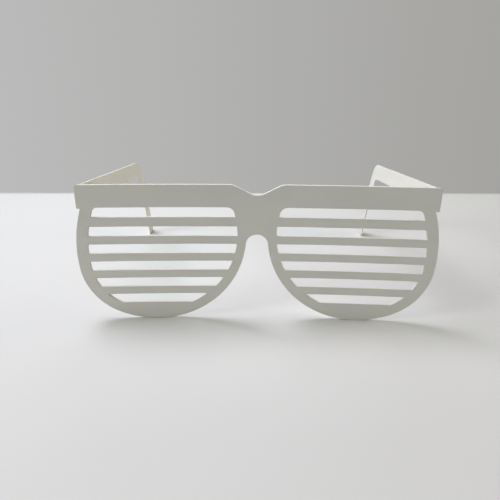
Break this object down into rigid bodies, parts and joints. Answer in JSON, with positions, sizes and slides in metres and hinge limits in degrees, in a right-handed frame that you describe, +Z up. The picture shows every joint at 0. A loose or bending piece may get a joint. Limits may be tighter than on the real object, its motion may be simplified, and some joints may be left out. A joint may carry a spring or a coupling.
{
  "type": "slatted novelty glasses",
  "caption": "Off-white shutter-style novelty glasses: a thin slatted front with a dipped brow bar, and two flat arms with angled ear hooks that fold on small hinges.",
  "frame": {"origin": "on the surface that the glasses stand on, under the middle of the bounding box", "axes": "+X across the front and its symmetry axis, -Y the way the front faces, +Y towards the ear hooks, +Z up"},
  "size_m": [0.1514, 0.1216, 0.0612],
  "materials": {
    "front": "matte, lightly textured",
    "arms": "matte, lightly textured",
    "hinges": "brushed",
    "screws": "brushed",
    "rivets": "satin"
  },
  "bodies": {
    "front": {"front_frame": "front", "front_hinge_left": "hinges", "front_hinge_right": "hinges", "hinge_screw_left": "screws", "hinge_screw_right": "screws"},
    "left_arm": {"temple_left": "arms", "temple_hinge_left": "hinges", "temple_rivets_left": "rivets"},
    "right_arm": {"temple_right": "arms", "temple_hinge_right": "hinges", "temple_rivets_right": "rivets"}
  },
  "joints": [
    {"name": "temple_left_fold", "type": "hinge", "parent": "front", "child": "left_arm", "pos_m": [-0.06882, -0.05682, 0.05623], "axis": [0, 0, -1], "range_deg": [0, 90]},
    {"name": "temple_right_fold", "type": "hinge", "parent": "front", "child": "right_arm", "pos_m": [0.06882, -0.05682, 0.05623], "axis": [0, 0, 1], "range_deg": [0, 86]}
  ]
}
